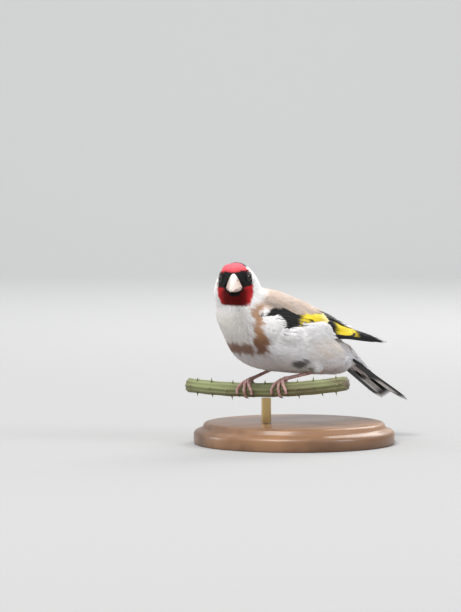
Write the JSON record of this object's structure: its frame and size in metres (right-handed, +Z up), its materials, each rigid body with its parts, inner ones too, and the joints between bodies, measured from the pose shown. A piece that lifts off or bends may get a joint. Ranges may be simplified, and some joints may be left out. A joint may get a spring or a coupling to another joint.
{
  "type": "European goldfinch, perched museum model",
  "caption": "Life-size European goldfinch perched on a cut length of thistle stem, head turned to its left, on a small round wooden display stand.",
  "frame": {"origin": "centre of the underside of the stand's round base", "axes": "+Z up out of the base, the bird's body faces -Y, the bird's left side is at +X"},
  "size_m": [0.084, 0.101, 0.0765],
  "materials": {
    "white_feathers": "soft feathers, satin",
    "brown_feathers": "soft feathers, matte",
    "face_feathers": "short feathers, matte",
    "black_feathers": "stiff flight feathers, satin",
    "bill_horn": "satin horn",
    "eye_gloss": "wet gloss",
    "leg_skin": "scaled skin, satin",
    "thistle_stem": "dry ribbed stem, matte",
    "stand_wood": "oiled wood, satin",
    "stand_brass": "brushed, satin"
  },
  "bodies": {
    "root": {"torso": "white_feathers", "neck": "white_feathers", "head": "face_feathers", "tail": "black_feathers", "wing_left": "black_feathers", "wing_right": "black_feathers", "eye_left": "eye_gloss", "eye_right": "eye_gloss", "bill_upper": "bill_horn", "bill_lower": "bill_horn", "thigh_left": "white_feathers", "thigh_right": "white_feathers", "tarsus_left": "leg_skin", "tarsus_right": "leg_skin", "foot_left": "leg_skin", "foot_right": "leg_skin", "perch_stem": "thistle_stem", "stand_base": "stand_wood", "stand_rod": "stand_brass"}
  },
  "joints": []
}
